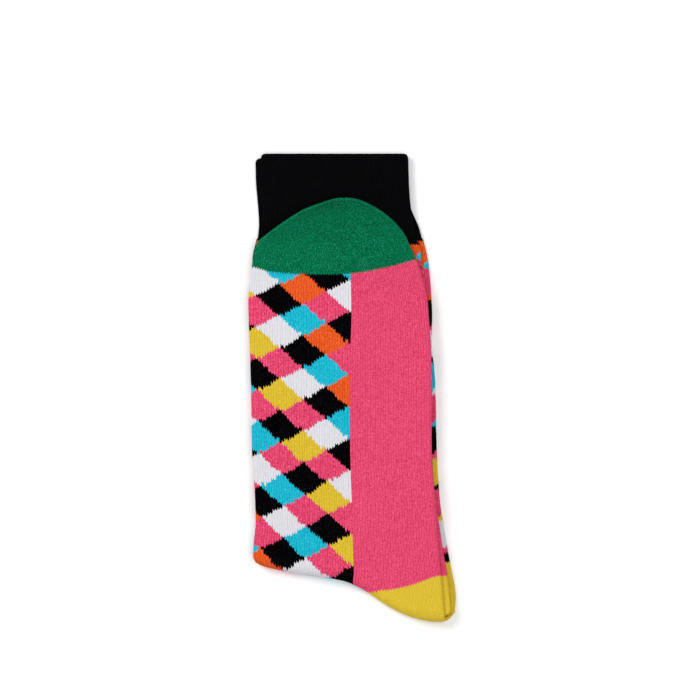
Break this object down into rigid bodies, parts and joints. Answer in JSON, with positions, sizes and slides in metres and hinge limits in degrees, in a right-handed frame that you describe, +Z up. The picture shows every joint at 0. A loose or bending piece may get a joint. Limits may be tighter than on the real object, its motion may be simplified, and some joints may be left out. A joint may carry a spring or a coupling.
{
  "type": "pair of socks",
  "caption": "Pair of knitted crew socks, pressed flat, laid together and folded at the ankle, with ribbed cuffs and contrast heel, toe and sole.",
  "frame": {"origin": "bottom centre of the pair's bounding box, on the surface that the socks lie on", "axes": "+X across the socks, from the shin and instep edge to the heel and sole edge; +Y along them, from the fold to the open cuffs; +Z up, away from the surface"},
  "size_m": [0.1114, 0.2532, 0.0117],
  "materials": {
    "black_rib": "matt 1 by 1 ribbed cotton knit, black",
    "patterned_leg": "matt plain cotton knit with a harlequin design in black, white, cyan, orange, yellow and pink",
    "yellow_heel": "matt plain cotton knit, yellow",
    "patterned_instep": "matt plain cotton knit with the leg's harlequin design",
    "pink_sole": "matt plain cotton knit, pink",
    "green_toe": "matt plain cotton knit, dark green"
  },
  "bodies": {
    "root": {"outer_sock_cuff": "black_rib", "outer_sock_leg": "patterned_leg", "outer_sock_heel": "yellow_heel", "outer_sock_instep": "patterned_instep", "outer_sock_sole": "pink_sole", "outer_sock_toe": "green_toe", "inner_sock_cuff": "black_rib", "inner_sock_leg": "patterned_leg", "inner_sock_heel": "yellow_heel", "inner_sock_instep": "patterned_instep", "inner_sock_sole": "pink_sole", "inner_sock_toe": "green_toe"}
  },
  "joints": []
}
